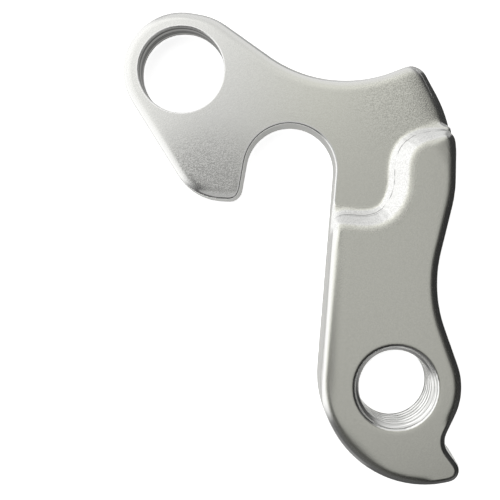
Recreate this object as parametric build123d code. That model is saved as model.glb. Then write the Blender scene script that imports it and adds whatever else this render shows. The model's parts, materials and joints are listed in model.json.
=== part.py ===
from build123d import *
import os
from dataclasses import dataclass
from math import acos, atan2, cos, degrees, pi, radians, sin, tan, tau

# A derailleur hanger: one forged and machined piece of aluminium. It lies on its back face, z = 0, with the
# front towards +Z. The axis of the bolt eye stands on the origin, and the arm hangs towards -Y.
# Lengths are in millimetres and angles in degrees.

# Thicknesses, and the draft of the outer walls
PLATE_THICKNESS = 3.5
STEP_HEIGHT = 3.0
FORGING_DRAFT = 3.0

# Edges: the front ones have a shallow bevel, this wide and deep, that is rounded into the wall
PLATE_BEVEL = 1.0
PLATE_BEVEL_DROP = 0.45
ARM_BEVEL = 0.85
ARM_BEVEL_DROP = 0.42
EDGE_ROUND = 0.5
SLOT_EDGE = 0.5
BACK_EDGE = 0.35
STEP_COVE = 0.8

# Bolt eye
BOLT_BORE = 10.8
BOLT_EYE_WALL = 2.2
BOLT_BORE_EDGE = 0.15

# Axle slot, placed from the bolt eye
AXLE_ACROSS = 13.7
AXLE_DOWN = 12.6
SLOT_WIDTH = 11.2
SLOT_FLARE = 0.5

# Threaded eye, placed from the axle: how far away, and how far behind straight down
HANGER_LENGTH = 29.9
HANGER_ANGLE = 25.7
THREAD_MAJOR = 10.0
THREAD_EYE_WALL = 3.43
THREAD_LEAD_IN = 0.15

# Foot of the arm: one large arc below the threaded eye, which the stop tab ends
FOOT_FROM_EYE = (3.55, 0.7)
FOOT_DEPTH = 4.57
TAB_ANGLE = -75.6
CORNER_FLAT = 0.6

# Lobe beside the slot, and the heel that closes it towards the bolt eye
LOBE_RADIUS = 1.75
LOBE_BELOW_AXLE = 2.2
HEEL_FROM_LOBE = (-4.7, -1.45)
HEEL_RADIUS = 6.8

# Corners of the outline before they are rounded, each from the feature that it belongs to
NECK_STANDOFF = 0.56
NECK_ANGLE = 59.0
NECK_RADIUS = 8.0
VALLEY_FROM_AXLE = (4.82, 9.42)
VALLEY_RADIUS = 16.5
TIP_FROM_AXLE = (16.58, 14.02)
TIP_RADIUS = 2.38
SHOULDER_FROM_AXLE = (20.95, 5.97)
SHOULDER_RADIUS = 16.0
CHEEK_FROM_AXLE = (20.66, -3.4)
CHEEK_RADIUS = 15.0
WAIST_PLACE = 0.714
WAIST_OUT = 9.42
WAIST_RADIUS = 16.0
NOTCH_STANDOFF = 0.7
NOTCH_ANGLE = -48.3
NOTCH_RADIUS = 1.8

# Step between plate and arm: two rounded corners, and the lean of the runs that leave them
STEP_INNER_FROM_AXLE = (13.3, -6.42)
STEP_OUTER_FROM_AXLE = (13.5, 4.2)
STEP_RADIUS = 4.3
STEP_LEAN_LEFT = 7.1
STEP_LEAN_RIGHT = 7.0

# Soft roll-offs of the front: how round each is, where it starts, and the angle that it falls towards
FOOT_ROLL_RADIUS = 8.0
FOOT_ROLL_WIDTH = 2.4
FOOT_ROLL_ANGLE = 225.0
SHOULDER_ROLL_RADIUS = 12.0
SHOULDER_ROLL_FROM_AXLE = (15.6, 7.57)
SHOULDER_ROLL_ANGLE = 25.0
CROWN_ROLL_RADIUS = 8.0
CROWN_ROLL_FROM_AXLE = (17.6, 2.1)
CROWN_ROLL_ANGLE = 35.0

# The same along the step: its roll-off would end this far out, so it meets the wall in a blunt edge
STEP_ROLL_RADIUS = 2.4
STEP_ROLL_OUT = 0.3

ARM_THICKNESS = PLATE_THICKNESS + STEP_HEIGHT
BOLT_EYE_RADIUS = BOLT_BORE / 2 + BOLT_EYE_WALL
THREAD_EYE_RADIUS = THREAD_MAJOR / 2 + THREAD_EYE_WALL
FOOT_RADIUS = THREAD_EYE_RADIUS + FOOT_DEPTH
SLOT_RADIUS = SLOT_WIDTH / 2
# A corner of the arm keeps a little of its radius after the draft and the bevel have taken theirs
ARM_CORNER = ARM_BEVEL + ARM_THICKNESS * tan(radians(FORGING_DRAFT)) + CORNER_FLAT
BEYOND = 100.0
# Points nearer than this are one point
SAME_POINT = 1e-5


def polar(length: float, angle: float) -> Vector:
    """A flat vector of a length at an angle."""
    return Vector(length, 0).rotate(Axis.Z, angle)


@dataclass
class Stop:
    """A place that an outline goes round: a circle, hollow if wrap is negative, or a rounded corner."""

    centre: Vector
    wrap: float = 0.0
    rounding: float = 0.0


@dataclass
class Run:
    """A straight run between two stops, with its heading in radians."""

    start: Vector
    end: Vector
    heading: float

    @property
    def way(self) -> Vector:
        """The run's direction, one millimetre long."""
        return Vector(cos(self.heading), sin(self.heading))


def straight(a: Stop, b: Stop) -> Run:
    """The run that leaves stop a and arrives at stop b, tangent to their circles."""
    gap = b.centre - a.centre
    lean = acos(max(-1.0, min(1.0, (a.wrap - b.wrap) / gap.length)))
    outward = atan2(gap.Y, gap.X) - lean
    side = Vector(cos(outward), sin(outward))
    start = a.centre + side * a.wrap
    end = b.centre + side * b.wrap
    return Run(start, start if (end - start).length < SAME_POINT else end, outward + pi / 2)


def crossing(a: Run, b: Run) -> Vector:
    """The point where two runs cross when they are drawn on."""
    return a.start + a.way * ((b.start - a.start).cross(b.way).Z / a.way.cross(b.way).Z)


def outline(stops: list[Stop]) -> Face:
    """A face whose edge runs anticlockwise round the stops, in straight runs joined by tangent arcs."""
    runs = [straight(a, b) for a, b in zip(stops, stops[1:] + stops[:1])]
    bends = []
    for stop, before, after in zip(stops, runs[-1:] + runs[:-1], runs):
        turn = (after.heading - before.heading) % tau
        if stop.wrap:
            turn -= tau if stop.wrap < 0 else 0
            start = before.end
            end = after.start
            middle = stop.centre + (start - stop.centre).rotate(Axis.Z, degrees(turn) / 2)
        else:
            turn -= tau if turn > pi else 0
            setback = stop.rounding * abs(tan(turn / 2))
            start = stop.centre - before.way * setback
            end = stop.centre + after.way * setback
            inwards = (after.way - before.way).normalized()
            middle = stop.centre + inwards * stop.rounding * (1 / cos(turn / 2) - 1)
        bends.append((start, middle, end))
    edges = []
    for bend, following in zip(bends, bends[1:] + bends[:1]):
        if (bend[2] - bend[0]).length > SAME_POINT:
            edges.append(ThreePointArc(*bend))
        if (following[0] - bend[2]).length > SAME_POINT:
            edges.append(Line(bend[2], following[0]))
    return Face(Wire(edges))


# Places of the main features, and the stops that more than one outline needs
bolt = Vector(0, 0)
axle = Vector(AXLE_ACROSS, -AXLE_DOWN)
eye = axle + polar(HANGER_LENGTH, HANGER_ANGLE - 90)
foot = eye + Vector(FOOT_FROM_EYE)
lobe = Stop(axle + Vector(-SLOT_RADIUS - SLOT_FLARE - LOBE_RADIUS, -LOBE_BELOW_AXLE), wrap=LOBE_RADIUS)
heel = Stop(lobe.centre + Vector(HEEL_FROM_LOBE), rounding=HEEL_RADIUS)
slot = Stop(axle, wrap=-SLOT_RADIUS)
sole = Stop(foot, wrap=FOOT_RADIUS)
step_inner = axle + Vector(STEP_INNER_FROM_AXLE)
step_outer = axle + Vector(STEP_OUTER_FROM_AXLE)
step_left = Run(step_inner, step_inner, radians(180 - STEP_LEAN_LEFT))
arm_left = straight(slot, sole)
below_axle = Run(axle, axle, radians(-90))


def hanger(after_heel: list[Stop]) -> Face:
    """The hanger's outline, which follows the stops given between the heel and the sole."""
    return outline([
        Stop(bolt, wrap=BOLT_EYE_RADIUS),
        heel,
        *after_heel,
        sole,
        Stop(foot + polar(FOOT_RADIUS - ARM_CORNER, TAB_ANGLE), wrap=ARM_CORNER),
        Stop(eye + polar(THREAD_EYE_RADIUS + NOTCH_STANDOFF, NOTCH_ANGLE), rounding=NOTCH_RADIUS),
        Stop(eye, wrap=THREAD_EYE_RADIUS),
        Stop(axle + (eye - axle) * WAIST_PLACE + polar(WAIST_OUT, HANGER_ANGLE), rounding=WAIST_RADIUS),
        Stop(axle + Vector(CHEEK_FROM_AXLE), rounding=CHEEK_RADIUS),
        Stop(axle + Vector(SHOULDER_FROM_AXLE), rounding=SHOULDER_RADIUS),
        Stop(axle + Vector(TIP_FROM_AXLE), rounding=TIP_RADIUS),
        Stop(axle + Vector(VALLEY_FROM_AXLE), rounding=VALLEY_RADIUS),
        Stop(bolt + polar(BOLT_EYE_RADIUS + NECK_STANDOFF, NECK_ANGLE), rounding=NECK_RADIUS),
    ])


def forged(face: Face, height: float) -> Part:
    """A slab on a face, with walls that lean inwards by the forging draft."""
    slab = extrude(face, height)
    walls = [wall for wall in slab.faces() if abs(wall.normal_at().Z) < 0.5]
    return draft(walls, Plane.XY, FORGING_DRAFT)


def front_edges(slab: Part) -> ShapeList[Edge]:
    """The edges round the front of a slab, where its top and the parts rolled off it meet the walls."""
    edges = [edge for face in slab.faces() if face.normal_at().Z > 0.5 for edge in face.edges()]
    return ShapeList(edge for edge in edges if sum(edge.is_same(other) for other in edges) == 1)


def softened(slab: Part, width: float, drop: float) -> Part:
    """Bevels the edge round the front of a slab, and rounds the bevel into the walls."""
    top = slab.faces().sort_by(Axis.Z)[-1]
    rim = [edge for edge in front_edges(slab) if edge in top.edges()]
    slab = chamfer(rim, width, drop, reference=top)
    return fillet(front_edges(slab), EDGE_ROUND)


def rolled_off(slab: Part, height: float, radius: float, start: Vector, angle: float) -> Part:
    """Rolls the top of a slab off in a soft curve, from the start on and falling towards the angle."""
    section = Rectangle(0.9 * radius, 2 * radius, align=Align.MIN) - Circle(radius)
    low = Vector(start.X, start.Y, height - radius)
    side = Plane(origin=low, x_dir=polar(1, angle), z_dir=polar(1, angle - 90))
    return slab - extrude(side * section, BEYOND, both=True)


def rims(body: Part, centre: Vector, radius: float) -> ShapeList[Edge]:
    """The two rims of a round hole through a body."""
    circles = body.edges().filter_by(GeomType.CIRCLE)
    middles = [Vector(circle.arc_center.X, circle.arc_center.Y) for circle in circles]
    return ShapeList(
        circle for circle, middle in zip(circles, middles)
        if abs(circle.radius - radius) < SAME_POINT and (middle - centre).length < SAME_POINT
    )


# Plate: the slot's edge has a narrow rounding. The wide bevel comes from a blank with a closed slot mouth.
profile = hanger([lobe, slot])
plate = forged(profile, PLATE_THICKNESS)
plate = fillet(front_edges(plate), SLOT_EDGE)
plate = chamfer(plate.faces().sort_by(Axis.Z)[0].outer_wire().edges(), BACK_EDGE)
closed_mouth = [
    Stop(crossing(straight(heel, lobe), below_axle), rounding=LOBE_RADIUS),
    Stop(crossing(arm_left, step_left) + arm_left.way * PLATE_BEVEL, rounding=LOBE_RADIUS),
]
blank = forged(hanger(closed_mouth), PLATE_THICKNESS)
shoulder_roll = axle + Vector(SHOULDER_ROLL_FROM_AXLE)
blank = rolled_off(blank, PLATE_THICKNESS, SHOULDER_ROLL_RADIUS, shoulder_roll, SHOULDER_ROLL_ANGLE)
plate &= softened(blank, PLATE_BEVEL, PLATE_BEVEL_DROP)

# Arm: the outline below the step, with both ends of the step rounded into the outer walls
below_step = outline([
    Stop(Vector(-BEYOND, -BEYOND)),
    Stop(Vector(BEYOND, -BEYOND)),
    Stop(step_outer + polar(BEYOND, STEP_LEAN_RIGHT)),
    Stop(step_outer, rounding=STEP_RADIUS),
    Stop(step_inner, rounding=STEP_RADIUS),
    Stop(crossing(step_left, below_axle)),
])
arm_profile = (profile & below_step).face()
step_ends = [
    corner for corner in arm_profile.vertices()
    if max(corner.distance_to(profile.outer_wire()), corner.distance_to(below_step.outer_wire())) < 1e-4
]
arm_profile = fillet(step_ends, ARM_CORNER).face()
arm_walls = forged(arm_profile, ARM_THICKNESS)
foot_roll = foot + polar(FOOT_RADIUS - FOOT_ROLL_WIDTH, FOOT_ROLL_ANGLE)
arm = rolled_off(arm_walls, ARM_THICKNESS, FOOT_ROLL_RADIUS, foot_roll, FOOT_ROLL_ANGLE)
crown_roll = axle + Vector(CROWN_ROLL_FROM_AXLE)
arm = rolled_off(arm, ARM_THICKNESS, CROWN_ROLL_RADIUS, crown_roll, CROWN_ROLL_ANGLE)
arm = softened(arm, ARM_BEVEL, ARM_BEVEL_DROP)
step_block = forged(offset(below_step, STEP_ROLL_OUT, kind=Kind.INTERSECTION).face(), ARM_THICKNESS)
step_edge = step_block.faces().sort_by(Axis.Z)[-1].edges().sort_by_distance(step_inner)[0]
arm &= fillet(step_edge, STEP_ROLL_RADIUS)

# Cove at the foot of the step: a collar round the arm, less the air before the plate, rounded at its rim
cove_top = PLATE_THICKNESS + STEP_COVE
air = Pos(0, 0, PLATE_THICKNESS) * extrude(Rectangle(4 * BEYOND, 4 * BEYOND), STEP_HEIGHT) - arm_walls
air = fillet(air.faces().sort_by(Axis.Z)[0].inner_wires()[0].edges(), STEP_COVE)
cove = softened(forged(profile, cove_top), PLATE_BEVEL, PLATE_BEVEL_DROP)
cove &= extrude(offset(arm_profile, STEP_COVE), cove_top)
cove -= air

# One body: the arm and the cove start inside the plate, above its back edge
above_back = Plane.XY.offset(2 * BACK_EDGE)
body = plate + split(arm, above_back, keep=Keep.TOP) + split(cove, above_back, keep=Keep.TOP)

# Bolt bore with its rims broken, and the threaded eye's bore with its lead-ins
body -= Pos(*bolt) * Cylinder(BOLT_BORE / 2, 2 * PLATE_THICKNESS)
body = chamfer(rims(body, bolt, BOLT_BORE / 2), BOLT_BORE_EDGE)
body -= Pos(*eye) * Cylinder(THREAD_MAJOR / 2, 2 * ARM_THICKNESS)
body = chamfer(rims(body, eye, THREAD_MAJOR / 2), THREAD_LEAD_IN)

os.makedirs("parts", exist_ok=True)
export_step(body, "parts/derailleur_hanger.step")
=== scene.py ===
import json
import logging
import math
from dataclasses import dataclass
from typing import Any

import bmesh
import bpy
import numpy as np
from mathutils import Matrix, Vector


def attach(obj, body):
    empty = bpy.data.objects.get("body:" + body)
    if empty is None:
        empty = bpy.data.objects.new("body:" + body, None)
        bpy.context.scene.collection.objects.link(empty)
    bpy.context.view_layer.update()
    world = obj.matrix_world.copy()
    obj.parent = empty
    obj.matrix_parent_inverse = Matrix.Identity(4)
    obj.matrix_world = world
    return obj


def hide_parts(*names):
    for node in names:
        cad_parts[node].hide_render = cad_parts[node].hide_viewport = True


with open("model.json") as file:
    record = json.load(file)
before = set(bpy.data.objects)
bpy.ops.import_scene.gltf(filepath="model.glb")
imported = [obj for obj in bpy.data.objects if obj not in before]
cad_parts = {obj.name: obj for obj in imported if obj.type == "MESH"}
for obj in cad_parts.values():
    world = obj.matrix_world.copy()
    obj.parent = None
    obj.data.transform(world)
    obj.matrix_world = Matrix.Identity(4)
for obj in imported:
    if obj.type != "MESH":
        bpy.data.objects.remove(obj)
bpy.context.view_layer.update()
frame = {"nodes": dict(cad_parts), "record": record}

# The row frame is in metres. The sizes below are in millimetres, and this brings them to the frame's unit.
MM = 0.001
BODY = "root"
HANGER_NODE = "derailleur_hanger"
THREAD_MOUNT = "derailleur_thread"
# The mesh attribute that holds how far a point lies beyond the foot of the step, in millimetres
STEP_FOOT = "step_foot"
# The Mix node's sockets for the share and the two colours, among those for its other kinds of data
MIX_SOCKETS = (0, 6, 7)
MIXED_COLOUR = 2

Socket = bpy.types.NodeSocket
Colour = tuple[float, float, float]
# Where a change starts and where it ends
Span = tuple[float, float]

log = logging.getLogger("hanger_scene")


def opaque(colour: Colour) -> tuple[float, float, float, float]:
    """Adds full alpha to a colour."""
    return (*colour, 1.0)


class Nodes:
    """A material's or world's node tree, with short ways to add and join its nodes."""

    def __init__(self, tree: bpy.types.NodeTree) -> None:
        """Takes over a node tree and empties it."""
        self.tree = tree
        tree.nodes.clear()

    def add(self, kind: str, settings: dict[str, Any] | None = None, **inputs: Any) -> bpy.types.Node:
        """Adds one node.

        Args:
            kind: The node's Blender type name.
            settings: Properties of the node itself.
            **inputs: Constants or output sockets for its inputs, with underscores for spaces in their names.

        Returns:
            The new node.
        """
        node = self.tree.nodes.new(kind)
        for name, value in (settings or {}).items():
            setattr(node, name, value)
        for name, value in inputs.items():
            self.join(node, name.replace("_", " "), value)
        return node

    def join(self, node: bpy.types.Node, name: str | int, value: Any) -> None:
        """Sets an input to a constant, or links an output socket to it.

        Args:
            node: The node that has the input.
            name: The input's name or number.
            value: A constant or an output socket.
        """
        if isinstance(value, bpy.types.NodeSocket):
            self.tree.links.new(value, node.inputs[name])
        else:
            node.inputs[name].default_value = value

    def math(self, operation: str, a: Any, b: Any = 0.0) -> Socket:
        """Adds a Math node.

        Args:
            operation: The operation's Blender name.
            a: The first value.
            b: The second value.

        Returns:
            The result.
        """
        node = self.add("ShaderNodeMath", {"operation": operation})
        self.join(node, 0, a)
        self.join(node, 1, b)
        return node.outputs[0]

    def vector(self, operation: str, a: Any, b: Any = (0.0, 0.0, 0.0), output: str = "Vector") -> Socket:
        """Adds a Vector Math node.

        Args:
            operation: The operation's Blender name.
            a: The first vector.
            b: The second vector.
            output: The output's name, which is Value where the result is a number.

        Returns:
            The result.
        """
        node = self.add("ShaderNodeVectorMath", {"operation": operation})
        self.join(node, 0, a)
        self.join(node, 1, b)
        return node.outputs[output]

    def parts(self, vector: Socket) -> tuple[Socket, Socket, Socket]:
        """Splits a vector into its three numbers."""
        outputs = self.add("ShaderNodeSeparateXYZ", Vector=vector).outputs
        return outputs["X"], outputs["Y"], outputs["Z"]

    def ramp(self, value: Any, span: Span, first: float, last: float) -> Socket:
        """Maps a value smoothly from one result to another, and holds it beyond the span.

        Args:
            value: The value that is mapped.
            span: Where the change starts and ends.
            first: The result at the start.
            last: The result at the end.

        Returns:
            The result.
        """
        node = self.add("ShaderNodeMapRange", {"interpolation_type": "SMOOTHSTEP"}, Value=value)
        for name, number in zip(("From Min", "From Max", "To Min", "To Max"), (*span, first, last)):
            self.join(node, name, number)
        return node.outputs["Result"]

    def rise(self, value: Any, span: Span) -> Socket:
        """Goes smoothly from nothing at the start of the span to one at its end."""
        return self.ramp(value, span, 0.0, 1.0)

    def fall(self, value: Any, span: Span) -> Socket:
        """Goes smoothly from one at the start of the span to nothing at its end."""
        return self.ramp(value, span, 1.0, 0.0)

    def product(self, first: Any, *others: Any) -> Socket:
        """Multiplies values.

        Args:
            first: The first value.
            *others: The values that it is multiplied by, in turn.

        Returns:
            The product.
        """
        for other in others:
            first = self.math("MULTIPLY", first, other)
        return first

    def largest(self, first: Any, *others: Any) -> Socket:
        """Finds the largest of some values.

        Args:
            first: The first value.
            *others: The values that it is compared with, in turn.

        Returns:
            The largest.
        """
        for other in others:
            first = self.math("MAXIMUM", first, other)
        return first

    def rest(self, value: Any) -> Socket:
        """Works out what a value leaves of one."""
        return self.math("SUBTRACT", 1.0, value)

    def off(self, value: Any, middle: float) -> Socket:
        """Works out how far a value is from a middle, on either side."""
        return self.math("ABSOLUTE", self.math("SUBTRACT", value, middle))

    def blend(self, share: Any, a: Any, b: Any) -> Socket:
        """Mixes two colours.

        Args:
            share: How much of the second colour there is, from 0 to 1.
            a: The first colour.
            b: The second colour.

        Returns:
            The mixed colour.
        """
        node = self.add("ShaderNodeMix", {"data_type": "RGBA"})
        for number, value in zip(MIX_SOCKETS, (share, a, b)):
            self.join(node, number, value)
        return node.outputs[MIXED_COLOUR]


@dataclass(frozen=True)
class MetalPlace:
    """What the metal knows of a place on the hanger: where it is, in millimetres, and which way it faces."""

    point: Socket
    x: Socket
    y: Socket
    z: Socket
    from_bore: Socket
    beyond_foot: Socket
    facing: Socket
    facing_x: Socket
    facing_y: Socket
    upright: Socket

    @classmethod
    def read(cls, nodes: Nodes) -> "MetalPlace":
        """Adds the nodes that tell the place, on Object coordinates and the body's own attribute.

        Args:
            nodes: The material's nodes.

        Returns:
            The place.
        """
        metres = nodes.add("ShaderNodeTexCoord").outputs["Object"]
        in_mm = nodes.add("ShaderNodeMapping", {"vector_type": "POINT"}, Vector=metres, Scale=(1 / MM,) * 3)
        point = in_mm.outputs["Vector"]
        x, y, z = nodes.parts(point)
        from_bore = nodes.vector("LENGTH", nodes.vector("MULTIPLY", point, (1.0, 1.0, 0.0)), output="Value")
        beyond_foot = nodes.add("ShaderNodeAttribute", {"attribute_name": STEP_FOOT}).outputs["Fac"]
        facing = nodes.add("ShaderNodeNewGeometry").outputs["Normal"]
        facing_x, facing_y, facing_z = nodes.parts(facing)
        upright = nodes.math("ABSOLUTE", facing_z)
        return cls(point, x, y, z, from_bore, beyond_foot, facing, facing_x, facing_y, upright)


@dataclass(frozen=True)
class GrainSpot:
    """A place where the grain of the blasted forging still shows through the polish, and the colour is
    darker.
    """

    centre: tuple[float, float, float]
    radius: float
    darkening: float


@dataclass(frozen=True)
class SatinAluminium:
    """Forged, blasted and tumbled aluminium: warm grey faces, worn edges lightened with painted highlight,
    and rougher walls darkened with painted shade.
    """

    name: str = "satin_aluminium"
    plain_colour: Colour = (0.675, 0.675, 0.650)
    face_colour: Colour = (0.685, 0.685, 0.620)
    # Painted highlight: the edges' colour is lighter and more neutral than the faces', beside their real
    # smoother rubbing
    edge_highlight_colour: Colour = (0.775, 0.775, 0.760)
    # Painted shade: the steep walls are darker than the metal, for the shade that their reflections hold;
    # their roughness is real
    wall_shade_colour: Colour = (0.480, 0.480, 0.460)
    warmer: Span = (4.0, 20.0)
    face_roughness: float = 0.24
    edge_roughness: float = 0.17
    wall_roughness: float = 0.42
    # How upright the normal is where each finish starts and ends
    rubbed_and_highlit_span: Span = (0.86, 0.985)
    steep_span: Span = (0.25, 0.52)
    wall_span: Span = (0.38, 0.66)
    cut_span: Span = (0.64, 0.93)
    tab_span: Span = (0.88, 0.985)
    # The grain of the blasted forging, and the places where it shows and the colour is darker
    grain_size: float = 0.15
    grain_depth: float = 0.050
    grain_bump: float = 0.5
    grain_contrast: Span = (0.3, 0.7)
    grain_tone: float = 0.18
    smooth_grain: float = 0.18
    grain_core: float = 0.15
    grain_spots: tuple[GrainSpot, ...] = (
        GrainSpot(centre=(28.5, -3.5, 3.5), radius=10.0, darkening=0.06),
        GrainSpot(centre=(3.5, -14.8, 3.5), radius=10.5, darkening=0.25),
    )
    # The bolt bore: its rim, its wall, and rings on the wall like the cutter's, darkened as painted shade
    bore_rim: Span = (6.2, 6.5)
    bore_wall: Span = (5.43, 5.52)
    turning_pitch: float = 0.50
    ring_contrast: Span = (0.40, 0.60)
    ring_dark: float = 0.15
    ring_light: float = 0.90
    # The bevels: how steep they are shaded, and which side is gentler
    bevel_slope: float = 0.67
    shaded_slope: float = 0.42
    shaded_lean: float = 0.9
    shaded_span: Span = (0.0, 0.3)
    level_guard: float = 0.0001
    # Places of the axle slot, the lobe's lower edge and the stop tab
    slot_centre: tuple[float, float] = (13.7, -12.6)
    slot_reach: Span = (6.5, 6.8)
    slot_mouth: Span = (-5.6, -5.0)
    lobe_left: Span = (0.5, 2.5)
    lobe_right: Span = (13.5, 14.5)
    lobe_top: Span = (-15.6, -14.4)
    tab_left: Span = (29.0, 31.5)
    tab_top: Span = (-44.5, -42.5)
    # The step, told by how far a place lies beyond its foot
    step_middle: float = 0.7
    step_reach: Span = (1.2, 2.4)
    step_right: Span = (30.0, 33.0)
    step_turn: Span = (0.35, 0.65)
    step_grain: float = 0.8
    step_roughness: float = 0.36
    # Thin lines of painted shade along the crease of the step
    shade_line_middle: float = 0.2
    shade_line_reach: Span = (1.2, 1.6)
    shade_line_left: Span = (19.2, 20.0)
    shade_line_right: Span = (33.0, 34.0)
    shade_line_width: Span = (0.042, 0.14)
    shade_line_tone: float = 0.45
    shade_line_height: float = 4.15
    crease_height: float = 4.70
    left_run: Span = (24.0, 26.0)
    break_scale: float = 0.9
    break_contrast: Span = (0.40, 0.60)

    def build(self) -> bpy.types.Material:
        """Builds the material.

        Returns:
            The material.
        """
        material = bpy.data.materials.new(self.name)
        material.use_nodes = True
        nodes = Nodes(material.node_tree)
        here = MetalPlace.read(nodes)
        rubbed_and_highlit = nodes.fall(here.upright, self.rubbed_and_highlit_span)
        near_step = nodes.fall(nodes.off(here.beyond_foot, self.step_middle), self.step_reach)
        step = nodes.product(near_step, nodes.fall(here.x, self.step_right))
        off_step = nodes.rest(nodes.product(near_step, nodes.fall(here.facing_x, self.step_turn)))
        steep = nodes.product(nodes.fall(here.upright, self.steep_span), off_step)

        grain = nodes.add("ShaderNodeTexNoise", Vector=here.point, Scale=1 / self.grain_size, Detail=2.0,
                          Roughness=0.55).outputs["Fac"]
        spread, tone = self.grain_spread(nodes, here, step, nodes.rest(rubbed_and_highlit))
        bump = nodes.add("ShaderNodeBump", Height=nodes.product(grain, spread), Strength=self.grain_bump,
                         Distance=self.grain_depth * MM, Normal=self.crisp_rim(nodes, here, off_step))

        mottle = nodes.ramp(grain, self.grain_contrast, -self.grain_tone, self.grain_tone)
        tone = nodes.math("ADD", nodes.product(mottle, spread), tone)
        tone = nodes.product(tone, self.bore_rings_and_shade(nodes, here), self.step_shade_lines(nodes, here))
        warm = nodes.rise(here.x, self.warmer)
        colour = nodes.blend(warm, opaque(self.plain_colour), opaque(self.face_colour))
        # Painted highlight: the tilted edges take a lighter, more neutral colour; their lower roughness is
        # the real rubbing
        colour = nodes.blend(rubbed_and_highlit, colour, opaque(self.edge_highlight_colour))
        # Painted shade: the steep walls, the bolt bore's among them, are darkened
        colour = nodes.blend(steep, colour, opaque(self.wall_shade_colour))
        toned = nodes.add("ShaderNodeVectorMath", {"operation": "SCALE"}, Vector=colour, Scale=tone)

        face_to_edge = nodes.ramp(rubbed_and_highlit, (0.0, 1.0), self.face_roughness, self.edge_roughness)
        edge_to_wall = nodes.ramp(steep, (0.0, 1.0), 0.0, self.wall_roughness - self.edge_roughness)
        rough = nodes.math("ADD", face_to_edge, edge_to_wall)
        rough = nodes.largest(rough, nodes.product(step, self.step_roughness))
        shader = nodes.add("ShaderNodeBsdfPrincipled", Base_Color=toned.outputs[0], Metallic=1.0,
                           Roughness=rough, Normal=bump.outputs["Normal"])
        nodes.add("ShaderNodeOutputMaterial", Surface=shader.outputs[0])
        return material

    def grain_spread(self, nodes: Nodes, here: MetalPlace, step: Socket,
                     unrubbed: Socket) -> tuple[Socket, Socket]:
        """Finds how much of the grain shows, and how much the colour is darkened round the spots.

        The grain is full round a spot's centre and thins out to its radius. The edges are worn free of it,
        and the step has its own.

        Args:
            nodes: The material's nodes.
            here: The place on the hanger.
            step: One on the step, and nothing elsewhere.
            unrubbed: One on the faces, and nothing on the edges.

        Returns:
            The share of the grain, and a factor for the colour.
        """
        spread: Any = self.smooth_grain
        darkening: Any = 0.0
        for spot in self.grain_spots:
            # The colour is darker round each spot, fading out to its radius
            away = nodes.vector("DISTANCE", here.point, spot.centre, output="Value")
            near = nodes.fall(away, (self.grain_core * spot.radius, spot.radius))
            spread = nodes.largest(near, spread)
            darkening = nodes.math("ADD", nodes.product(near, spot.darkening), darkening)
        spread = nodes.largest(nodes.product(spread, unrubbed), nodes.product(step, self.step_grain))
        return spread, nodes.rest(nodes.product(darkening, unrubbed))

    def crisp_rim(self, nodes: Nodes, here: MetalPlace, off_step: Socket) -> Socket:
        """Holds the slope of the bevels right up to their rim, where the mesh rounds them off.

        The sideways part of the normal is scaled down so that its slope is no more than the bevel's, which is
        gentler on the edges that face right or down. At the cut edges the face stays flat for most of the
        rounding, and at the stop tab as far as the bevel. On the walls themselves the normal stays as it is.

        Args:
            nodes: The material's nodes.
            here: The place on the hanger.
            off_step: Nothing on the step, and one elsewhere.

        Returns:
            The normal to shade with.
        """
        level = nodes.math("SUBTRACT", 1.0 + self.level_guard, nodes.product(here.upright, here.upright))
        sideways = nodes.math("SQRT", level)
        shaded = nodes.math("SUBTRACT", here.facing_x, nodes.product(here.facing_y, self.shaded_lean))
        shaded = nodes.math("DIVIDE", shaded, sideways)
        slope = nodes.ramp(shaded, self.shaded_span, self.bevel_slope, self.shaded_slope)
        held = nodes.math("DIVIDE", nodes.product(here.upright, slope), sideways)
        held = nodes.math("MINIMUM", held, 1.0)
        cut = nodes.product(self.cut_edges(nodes, here), off_step, nodes.rise(here.upright, self.cut_span))
        tab = nodes.product(self.stop_tab(nodes, here), nodes.rise(here.upright, self.tab_span))
        held = nodes.product(held, nodes.rest(nodes.largest(cut, tab)))
        wall = nodes.product(nodes.fall(here.upright, self.wall_span), off_step)
        held = nodes.largest(held, wall)
        scale = nodes.add("ShaderNodeCombineXYZ", X=held, Y=held, Z=1.0).outputs[0]
        return nodes.vector("NORMALIZE", nodes.vector("MULTIPLY", here.facing, scale))

    def stop_tab(self, nodes: Nodes, here: MetalPlace) -> Socket:
        """Is one at the stop tab, low on the right, and nothing elsewhere."""
        return nodes.product(nodes.rise(here.x, self.tab_left), nodes.fall(here.y, self.tab_top))

    def cut_edges(self, nodes: Nodes, here: MetalPlace) -> Socket:
        """Finds the places next to the axle slot, the bolt bore and the lower edge of the lobe.

        The slot is told by the distance from its axis, which below its round end counts only across. The bore
        is told by the distance from its own axis, and the lobe by its place across and up the hanger.

        Args:
            nodes: The material's nodes.
            here: The place on the hanger.

        Returns:
            One at the cut edges, and nothing elsewhere.
        """
        across = nodes.math("SUBTRACT", here.x, self.slot_centre[0])
        up = nodes.math("SUBTRACT", here.y, self.slot_centre[1])
        above = nodes.largest(up, 0.0)
        away = nodes.math("ADD", nodes.product(across, across), nodes.product(above, above))
        slot = nodes.fall(nodes.math("SQRT", away), self.slot_reach)
        slot = nodes.product(slot, nodes.rise(up, self.slot_mouth))
        bore = nodes.fall(here.from_bore, self.bore_rim)
        lobe = nodes.product(nodes.rise(here.x, self.lobe_left), nodes.fall(here.x, self.lobe_right),
                             nodes.fall(here.y, self.lobe_top))
        return nodes.largest(lobe, slot, bore)

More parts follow.
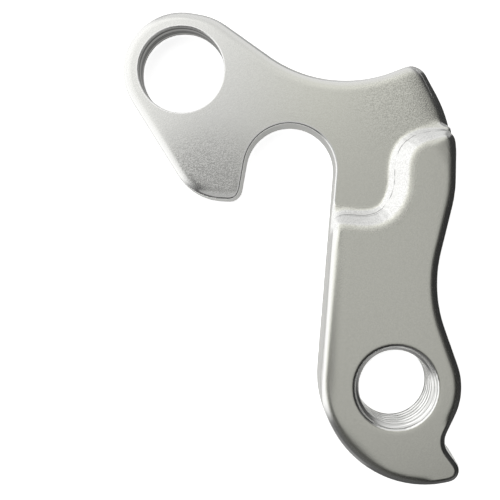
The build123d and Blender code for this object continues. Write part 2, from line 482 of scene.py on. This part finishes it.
    def step_shade_lines(self, nodes: Nodes, here: MetalPlace) -> Socket:
        """Paints a thin broken line of shade along the step's crease, and a second one above its left run.

        Each line is level: it is where the height is next to its own, near the foot of the step. A slow noise
        breaks the first line beyond the left run.

        Args:
            nodes: The material's nodes.
            here: The place on the hanger.

        Returns:
            A factor for the colour, which is one off the lines.
        """
        zone = nodes.fall(nodes.off(here.beyond_foot, self.shade_line_middle), self.shade_line_reach)
        zone = nodes.product(zone, nodes.rise(here.x, self.shade_line_left), nodes.fall(here.x, self.shade_line_right))
        left_run = nodes.fall(here.x, self.left_run)
        breaks = nodes.add("ShaderNodeTexNoise", Vector=here.point, Scale=self.break_scale, Detail=1.0)
        strength = nodes.largest(nodes.rise(breaks.outputs["Fac"], self.break_contrast), left_run)
        # Painted shade: dark level lines where the step's crease and cove would hold shadow
        first = nodes.product(nodes.fall(nodes.off(here.z, self.shade_line_height), self.shade_line_width), strength)
        second = nodes.product(nodes.fall(nodes.off(here.z, self.crease_height), self.shade_line_width), left_run)
        lines = nodes.product(nodes.largest(first, second), zone)
        return nodes.rest(nodes.product(lines, 1.0 - self.shade_line_tone))

    def bore_rings_and_shade(self, nodes: Nodes, here: MetalPlace) -> Socket:
        """Adds fine rings like the cutter's to the bolt bore's wall, and darkens the wall with painted shade.

        The tone is an uneven wave of the height alone, and it holds only at the wall of the bore.

        Args:
            nodes: The material's nodes.
            here: The place on the hanger.

        Returns:
            A factor for the colour, which is one outside the bore.
        """
        inside = nodes.fall(here.from_bore, self.bore_wall)
        rings = nodes.add("ShaderNodeTexNoise", {"noise_dimensions": "1D"}, W=here.z,
                          Scale=1 / self.turning_pitch, Detail=2.0, Roughness=0.6)
        # Painted shade: the tone runs from very dark to a little below one, so the wall is darker overall
        tone = nodes.ramp(rings.outputs["Fac"], self.ring_contrast, self.ring_dark, self.ring_light)
        return nodes.rest(nodes.product(inside, nodes.rest(tone)))


@dataclass(frozen=True)
class CutThread:
    """Freshly cut aluminium in the thread, bright and with a fine sheen along the turns."""

    name: str = "cut_thread"
    dark: Colour = (0.600, 0.600, 0.585)
    light: Colour = (0.880, 0.880, 0.865)
    roughness: float = 0.24
    streak_stretch: float = 0.3
    streak_size: float = 0.09
    streak_contrast: Span = (0.3, 0.7)

    def build(self) -> bpy.types.Material:
        """Builds the material, with fine uneven streaks by height.

        Returns:
            The material.
        """
        material = bpy.data.materials.new(self.name)
        material.use_nodes = True
        nodes = Nodes(material.node_tree)
        place = nodes.add("ShaderNodeTexCoord").outputs["Object"]
        along = self.streak_stretch / MM
        stretched = nodes.add("ShaderNodeMapping", {"vector_type": "POINT"}, Vector=place,
                              Scale=(along, along, 1 / (self.streak_size * MM)))
        streak = nodes.add("ShaderNodeTexNoise", Vector=stretched.outputs["Vector"], Scale=1.0, Detail=2.0)
        share = nodes.rise(streak.outputs["Fac"], self.streak_contrast)
        colour = nodes.blend(share, opaque(self.dark), opaque(self.light))
        shader = nodes.add("ShaderNodeBsdfPrincipled", Base_Color=colour, Metallic=1.0,
                           Roughness=self.roughness)
        nodes.add("ShaderNodeOutputMaterial", Surface=shader.outputs[0])
        return material


@dataclass(frozen=True)
class StudioFloor:
    """A plain white paper floor."""

    name: str = "white_paper"
    colour: Colour = (0.90, 0.90, 0.90)
    backlight: float = 0.79
    reflected: float = 0.50

    def build(self) -> bpy.types.Material:
        """Builds the paper: diffuse white, with a glow for the camera and a weaker one that metal mirrors.

        Returns:
            The material.
        """
        material = bpy.data.materials.new(self.name)
        material.use_nodes = True
        nodes = Nodes(material.node_tree)
        ray = nodes.add("ShaderNodeLightPath").outputs
        mirrored = nodes.largest(ray["Is Glossy Ray"], ray["Is Transmission Ray"])
        strength = nodes.largest(nodes.product(ray["Is Camera Ray"], self.backlight),
                                 nodes.product(mirrored, self.reflected))
        paper = nodes.add("ShaderNodeBsdfDiffuse", Color=opaque(self.colour))
        glow = nodes.add("ShaderNodeEmission", Color=(1.0, 1.0, 1.0, 1.0), Strength=strength)
        both = nodes.add("ShaderNodeAddShader")
        nodes.join(both, 0, paper.outputs[0])
        nodes.join(both, 1, glow.outputs[0])
        nodes.add("ShaderNodeOutputMaterial", Surface=both.outputs[0])
        return material


def ring_mesh(name: str, points: np.ndarray) -> bpy.types.Mesh:
    """Makes a smooth mesh of quads over a grid of points that closes both ways, as a ring does.

    Args:
        name: The mesh's name.
        points: Array of rows by columns by three coordinates, in metres.

    Returns:
        The mesh.
    """
    rows, columns = points.shape[:2]
    row = np.arange(rows)[:, None]
    column = np.arange(columns)[None, :]
    next_row = (row + 1) % rows
    next_column = (column + 1) % columns
    quads = np.stack([row * columns + column, row * columns + next_column,
                      next_row * columns + next_column, next_row * columns + column], axis=-1).reshape(-1, 4)
    mesh = bpy.data.meshes.new(name)
    mesh.from_pydata(points.reshape(-1, 3), [], quads)
    mesh.polygons.foreach_set("use_smooth", np.ones(len(quads), dtype=bool))
    mesh.update()
    return mesh


def even_step(values: np.ndarray, span: Span) -> np.ndarray:
    """Goes evenly from nothing at the start of the span to one at its end, and holds beyond them."""
    return np.clip((values - span[0]) / (span[1] - span[0]), 0.0, 1.0)


def soft_step(values: np.ndarray, span: Span) -> np.ndarray:
    """Goes smoothly from nothing at the start of the span to one at its end, and holds beyond them."""
    share = even_step(values, span)
    return share * share * (3.0 - 2.0 * share)


def show(name: str, mesh: bpy.types.Mesh) -> bpy.types.Object:
    """Puts a mesh into the scene at the origin.

    Args:
        name: The object's name.
        mesh: Its mesh, already in place.

    Returns:
        The object.
    """
    thing = bpy.data.objects.new(name, mesh)
    bpy.context.scene.collection.objects.link(thing)
    return thing


@dataclass
class HangerBody:
    """The hanger itself: the solid's own shape on a fine even mesh, with edges softened as tumbling does."""

    metal: bpy.types.Material
    name: str = "hanger_body"
    weld: float = 0.0005
    mesh_size: float = 0.20
    # How much each region is softened, and the heights and places where the regions start and end
    passes: int = 60
    pace: float = 0.5
    tumbling: float = 0.06
    arm_tumbling: float = 0.09
    shoulder_tumbling: float = 0.50
    front: Span = (2.6, 3.4)
    arm_front: Span = (4.0, 5.5)
    thread_eye: tuple[float, float] = (26.67, -39.54)
    off_eye: Span = (5.8, 7.0)
    shoulder_left: Span = (28.5, 30.5)
    shoulder_low: Span = (-7.4, -6.0)
    # The step: the corners of its foot, and how far beyond the foot it is rolled, squeezed and shifted
    step_corners: tuple[tuple[float, float], ...] = (
        (18.4, -17.95),
        (27.0, -19.02),
        (27.2, -8.4),
        (36.0, -7.3),
    )
    corner_cuts: int = 3
    roll_start: Span = (-0.8, -0.2)
    roll_end: Span = (2.0, 0.5)
    roll_left: Span = (18.8, 20.5)
    roll_right: Span = (33.5, 30.5)
    squeeze: float = 0.20
    squeeze_start: Span = (0.0, 2.0)
    drift: float = 0.30
    drift_start: Span = (-2.5, -0.5)
    shift_end: Span = (7.0, 3.0)
    marked_above: float = 3.0
    unmarked: float = 9.0
    # The crown beside the arm's left edge: the edge's two ends, and how the front falls away towards it
    crown_edge: tuple[float, float, float, float] = (19.6, -20.0, 18.25, -40.0)
    crown_top: Span = (-0.02, 0.18)
    crown_low: Span = (1.25, 0.90)
    crown_front: Span = (4.0, 6.0)
    crown_start: float = 1.9
    crown_full: float = 0.9
    crown_slope: float = 0.15
    crown_pull: float = 0.36
    pull_start: Span = (-0.85, 0.0)
    pull_end: Span = (3.5, 0.5)

    def build(self) -> bpy.types.Object:
        """Joins the solid's loose facets, covers them with even small faces and wears the edges a little.

        Returns:
            The piece, which stands for the solid.
        """
        source = frame["nodes"][HANGER_NODE]
        rough = source.data.copy()
        work = bmesh.new()
        work.from_mesh(rough)
        bmesh.ops.remove_doubles(work, verts=work.verts, dist=self.weld * MM)
        bmesh.ops.scale(work, vec=(1 / MM,) * 3, verts=work.verts)
        work.to_mesh(rough)
        work.free()
        mesh = self.even(rough)
        mesh.name = self.name
        self.wear(mesh)
        mesh.transform(Matrix.Scale(MM, 4))
        mesh.polygons.foreach_set("use_smooth", np.ones(len(mesh.polygons), dtype=bool))
        mesh.materials.clear()
        mesh.materials.append(self.metal)
        piece = show(self.name, mesh)
        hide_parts(HANGER_NODE)
        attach(piece, BODY)
        return piece

    def even(self, rough: bpy.types.Mesh) -> bpy.types.Mesh:
        """Covers a closed mesh with even small faces.

        Args:
            rough: The closed mesh, in millimetres, which is used up.

        Returns:
            The new mesh, in millimetres.
        """
        blank = show("blank", rough)
        cover = blank.modifiers.new("even_faces", "REMESH")
        cover.mode = "VOXEL"
        cover.voxel_size = self.mesh_size
        layer = bpy.context.evaluated_depsgraph_get()
        mesh = bpy.data.meshes.new_from_object(blank.evaluated_get(layer))
        bpy.data.objects.remove(blank)
        bpy.data.meshes.remove(rough)
        return mesh

    def wear(self, mesh: bpy.types.Mesh) -> None:
        """Softens the mesh, shapes its crown and step, and marks how far points lie beyond the step's foot.

        In each pass a point goes its share of the way to the middle of its neighbours.

        Args:
            mesh: The even mesh, in millimetres.
        """
        count = len(mesh.vertices)
        points = np.empty(count * 3)
        mesh.vertices.foreach_get("co", points)
        points = points.reshape(-1, 3)
        ends = np.empty(len(mesh.edges) * 2, dtype=np.int64)
        mesh.edges.foreach_get("vertices", ends)
        ends = ends.reshape(-1, 2)
        here = ends.ravel()
        there = ends[:, ::-1].ravel()
        neighbours = np.bincount(here, minlength=count)[:, None]
        along_step = even_step(points[:, 2], self.front) * even_step(points[:, 0], self.roll_left)
        along_step *= even_step(points[:, 0], self.roll_right)
        share = self.pace * self.softness(points, along_step)[:, None]
        for _ in range(self.passes):
            sums = [np.bincount(here, weights=points[there, axis], minlength=count) for axis in range(3)]
            points += share * (np.stack(sums, axis=1) / neighbours - points)
        points += self.crown(points)
        beyond, way = self.beyond_foot(points)
        mark = mesh.attributes.new(STEP_FOOT, "FLOAT", "POINT")
        mark.data.foreach_set("value", np.where(points[:, 2] > self.marked_above, beyond, self.unmarked))
        points[:, :2] -= self.step_shift(beyond, way, along_step)
        mesh.vertices.foreach_set("co", points.ravel())
        mesh.update()

    def softness(self, points: np.ndarray, along_step: np.ndarray) -> np.ndarray:
        """Works out how much each point is softened.

        That is a little all over, a little more on the arm's front off the threaded eye, half at the shoulder
        and one along the step, with a gradual change from each to the next.

        Args:
            points: Array of points by three coordinates, in millimetres.
            along_step: One at the front between the ends of the step, and nothing elsewhere.

        Returns:
            The shares, from 0 to 1.
        """
        x, y, z = points.T
        arm = even_step(z, self.arm_front)
        arm *= even_step(np.hypot(x - self.thread_eye[0], y - self.thread_eye[1]), self.off_eye)
        all_over = self.tumbling + arm * (self.arm_tumbling - self.tumbling)
        shoulder = soft_step(x, self.shoulder_left) * soft_step(y, self.shoulder_low)
        shoulder *= even_step(z, self.front)
        beyond, _ = self.beyond_foot(points)
        step = soft_step(beyond, self.roll_start) * soft_step(beyond, self.roll_end) * along_step
        return np.maximum(np.maximum(all_over, step), self.shoulder_tumbling * shoulder)

    def step_shift(self, beyond: np.ndarray, way: np.ndarray, along_step: np.ndarray) -> np.ndarray:
        """Works out how the step is squeezed, and how its upright run drifts, back over its foot.

        Both grow smoothly from their starts and fade out on the arm. The drift counts by the square of how
        far the step faces across the hanger.

        Args:
            beyond: How far the points lie beyond the foot, in millimetres.
            way: The level directions in which that grows.
            along_step: One at the front between the ends of the step, and nothing elsewhere.

        Returns:
            The level shifts, in millimetres, which are taken off.
        """
        shift = self.squeeze * soft_step(beyond, self.squeeze_start)
        shift += self.drift * way[:, 0] ** 2 * soft_step(beyond, self.drift_start)
        return (shift * soft_step(beyond, self.shift_end) * along_step)[:, None] * way

    def crown(self, points: np.ndarray) -> np.ndarray:
        """Works out how the arm's front falls away towards its left edge, and how its bevel there steepens.

        The drop starts as the square of how far a point lies within the crown and then grows evenly to the
        edge. The pull is a smooth bump that is highest along the bevel's inner border. Both fade out at the
        ends of the edge and below the front.

        Args:
            points: Array of points by three coordinates, in millimetres.

        Returns:
            The shifts of the points, in millimetres.
        """
        top_x, top_y, low_x, low_y = self.crown_edge
        along = (points[:, 1] - top_y) / (low_y - top_y)
        gap = points[:, 0] - (top_x + along * (low_x - top_x))
        width = self.crown_start - self.crown_full
        fall = even_step(gap, (self.crown_start, self.crown_full)) ** 2 * width / 2
        fall += np.clip(self.crown_full - gap, 0.0, self.crown_start)
        held = soft_step(along, self.crown_top) * soft_step(along, self.crown_low)
        held *= even_step(points[:, 2], self.crown_front)
        pull = soft_step(gap, self.pull_start) * soft_step(gap, self.pull_end)
        shifts = np.zeros_like(points)
        shifts[:, 0] = -self.crown_pull * pull * held
        shifts[:, 2] = -self.crown_slope * fall * held
        return shifts

    def foot_line(self) -> np.ndarray:
        """Rounds the corners of the step's foot, by cutting each a quarter of the way along, again and again.

        Returns:
            Array of points by two coordinates, in millimetres.
        """
        line = np.array(self.step_corners)
        for _ in range(self.corner_cuts):
            first = 0.75 * line[:-1] + 0.25 * line[1:]
            second = 0.25 * line[:-1] + 0.75 * line[1:]
            middle = np.stack([first, second], axis=1).reshape(-1, 2)
            line = np.concatenate([line[:1], middle[1:-1], line[-1:]])
        return line

    def beyond_foot(self, points: np.ndarray) -> tuple[np.ndarray, np.ndarray]:
        """Works out how far points lie from the foot of the step, seen from the front.

        That is the distance to the nearest of the foot's straight pieces, positive on the arm's side.

        Args:
            points: Array of points by three coordinates, in millimetres.

        Returns:
            The distances, in millimetres, and the level directions in which they grow.
        """
        foot = self.foot_line()
        start = foot[:-1]
        run = foot[1:] - start
        reach = points[:, None, :2] - start
        along = np.clip((reach * run).sum(axis=2) / (run * run).sum(axis=1), 0.0, 1.0)
        off = reach - along[:, :, None] * run
        gap = np.hypot(off[:, :, 0], off[:, :, 1])
        nearest = gap.argmin(axis=1)
        rows = np.arange(len(points))
        side = run[nearest, 1] * reach[rows, nearest, 0] - run[nearest, 0] * reach[rows, nearest, 1]
        sign = np.where(side > 0.0, 1.0, -1.0)
        way = off[rows, nearest] * (sign / np.maximum(gap[rows, nearest], 1e-6))[:, None]
        return gap[rows, nearest] * sign, way


@dataclass
class DerailleurThread:
    """The fine thread cut in the eye of the arm, with its crests fading out at both mouths."""

    metal: bpy.types.Material
    name: str = "derailleur_thread"
    pitch: float = 1.0
    crest_radius: float = 4.46
    crest_flat: float = 0.16
    root_sink: float = 0.03
    back_sink: float = 0.12
    fade: float = 0.55
    rows_per_pitch: int = 16
    columns: int = 144

    def build(self) -> bpy.types.Object:
        """Winds the thread inside its bore.

        The radius at a turn and a height is that of the root, less the thread's depth times a wave. The wave
        is a triangle with cut tops, and its phase is the height over the pitch less the turn. Near both
        mouths the depth falls to nothing. A plain cylinder just behind the root closes the ring inside the
        metal.

        Returns:
            The piece.
        """
        mount = next(m for m in frame["record"]["mounts"] if m["name"] == THREAD_MOUNT)
        root = mount["dims"]["r_mm"]
        length = mount["dims"]["length_mm"]
        centre = np.array(mount["pos_m"]) / MM
        rows = int(length / self.pitch * self.rows_per_pitch) + 1
        height = np.linspace(0.0, length, rows)[:, None]
        turn = np.linspace(0.0, math.tau, self.columns, endpoint=False)[None, :]
        phase = (height / self.pitch - turn / math.tau) % 1.0
        slope = (1.0 - 2.0 * self.crest_flat) / 2.0
        wave = np.clip((np.abs(phase - 0.5) - self.crest_flat / 2) / slope, 0.0, 1.0)
        from_mouth = np.minimum(height, length - height)
        depth = (root - self.crest_radius) * wave * soft_step(from_mouth, (0.0, self.fade))
        sink = self.root_sink * (1.0 - 2.0 * even_step(from_mouth, (0.0, self.fade)) * (1.0 - wave))
        back = np.full((2, self.columns), root + self.back_sink)
        radii = np.concatenate([root + sink - depth, back])
        heights = np.concatenate([height, [[length]], [[0.0]]]) + centre[2] - length / 2
        points = np.stack([centre[0] + radii * np.cos(turn), centre[1] + radii * np.sin(turn),
                           np.broadcast_to(heights, radii.shape)], axis=-1)
        mesh = ring_mesh(self.name, points[::-1] * MM)
        mesh.materials.append(self.metal)
        piece = show(self.name, mesh)
        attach(piece, BODY)
        return piece


@dataclass(frozen=True)
class SoftLight:
    """A round light far away that fades out softly.

    It is placed by its compass angle from +X and its rise above the floor, in degrees.
    """

    name: str
    turn: float
    rise: float
    core: float
    fade: float
    level: float

    def glow(self, nodes: Nodes, look: Socket) -> Socket:
        """Adds the light to the sky.

        Its strength falls smoothly from its level at the edge of the core to nothing over the width of the
        fade, by the angle between the light and the direction that is looked in.

        Args:
            nodes: The sky's nodes.
            look: The direction that is looked in.

        Returns:
            The light's strength there.
        """
        turn = math.radians(self.turn)
        rise = math.radians(self.rise)
        way = (math.cos(turn) * math.cos(rise), math.sin(turn) * math.cos(rise), math.sin(rise))
        cosine = nodes.add("ShaderNodeVectorMath", {"operation": "DOT_PRODUCT", "label": self.name})
        nodes.join(cosine, 0, look)
        nodes.join(cosine, 1, way)
        angle = nodes.math("ARCCOSINE", cosine.outputs["Value"])
        edge = (math.radians(self.core), math.radians(self.core + self.fade))
        return nodes.ramp(angle, edge, self.level, 0.0)


@dataclass
class Studio:
    """The floor, the lights and the camera, which looks straight down."""

    floor_finish: StudioFloor
    floor_size: float = 6.0
    surround: float = 0.03
    horizon: float = 0.38
    horizon_low: float = 10.0
    horizon_high: float = 28.0
    camera_foot: tuple[float, float] = (14.01, -22.78)
    camera_height: float = 84.0
    sensor: float = 36.0
    focal_pixels: float = 639.0
    foot_pixel: float = 292.0
    picture: float = 500.0
    nearest_view: float = 0.001
    lights: tuple[SoftLight, ...] = (
        SoftLight("overhead", turn=320.0, rise=82.0, core=13.0, fade=14.0, level=0.60),
        SoftLight("left_bank", turn=165.0, rise=20.0, core=38.0, fade=20.0, level=1.30),
        SoftLight("left_overhead", turn=138.0, rise=45.0, core=25.0, fade=14.0, level=1.38),
        SoftLight("far_bank", turn=97.0, rise=42.0, core=31.0, fade=18.0, level=0.94),
        SoftLight("near_fill", turn=228.0, rise=15.0, core=30.0, fade=40.0, level=0.13),
        SoftLight("right_fill", turn=40.0, rise=60.0, core=6.0, fade=30.0, level=0.19),
    )

    def build(self) -> None:
        """Builds the floor, the sky with its lights, and the camera."""
        half = self.floor_size / 2
        points = np.array([[-half, -half, 0], [half, -half, 0], [half, half, 0], [-half, half, 0]])
        mesh = bpy.data.meshes.new("floor")
        mesh.from_pydata(points, [], [(0, 1, 2, 3)])
        mesh.materials.append(self.floor_finish.build())
        show("floor", mesh)
        self.build_sky()
        self.build_camera()

    def build_sky(self) -> None:
        """Builds the dim surround with the soft lights in it, and a pale wall round the horizon.

        Where lights overlap, the brightest one counts. A ray from the camera sees white wherever it leaves
        the floor.
        """
        world = bpy.data.worlds.new("sky")
        world.use_nodes = True
        bpy.context.scene.world = world
        nodes = Nodes(world.node_tree)
        look = nodes.add("ShaderNodeTexCoord").outputs["Generated"]
        rise = nodes.math("ARCSINE", nodes.parts(look)[2])
        top = (math.radians(self.horizon_low), math.radians(self.horizon_high))
        wall = nodes.ramp(rise, top, self.horizon, 0.0)
        camera_ray = nodes.add("ShaderNodeLightPath").outputs["Is Camera Ray"]
        lights = [light.glow(nodes, look) for light in self.lights]
        strength = nodes.largest(self.surround, *lights, wall, camera_ray)
        glow = nodes.add("ShaderNodeBackground", Color=(1.0, 1.0, 1.0, 1.0), Strength=strength)
        nodes.add("ShaderNodeOutputWorld", Surface=glow.outputs[0])

    def build_camera(self) -> None:
        """Hangs the camera over its foot on the floor, looking straight down."""
        target = Vector((self.camera_foot[0], self.camera_foot[1], 0.0)) * MM
        lens = bpy.data.cameras.new("camera")
        lens.sensor_width = self.sensor
        lens.lens = self.sensor * self.focal_pixels / self.picture
        lens.shift_x = 0.5 - self.foot_pixel / self.picture
        lens.clip_start = self.nearest_view
        camera = bpy.data.objects.new("camera", lens)
        camera.location = target + Vector((0.0, 0.0, self.camera_height * MM))
        bpy.context.scene.collection.objects.link(camera)
        bpy.context.scene.camera = camera
        bpy.context.scene.view_settings.view_transform = "Standard"


def main() -> None:
    """Builds the hanger, its thread and the studio round them."""
    logging.basicConfig(level=logging.INFO, format="%(name)s: %(message)s")
    for assembly in (HangerBody(SatinAluminium().build()), DerailleurThread(CutThread().build())):
        piece = assembly.build()
        log.info("%s: %d faces", piece.name, len(piece.data.polygons))
    Studio(StudioFloor()).build()
    log.info("studio is ready")


if __name__ == "__main__":
    main()
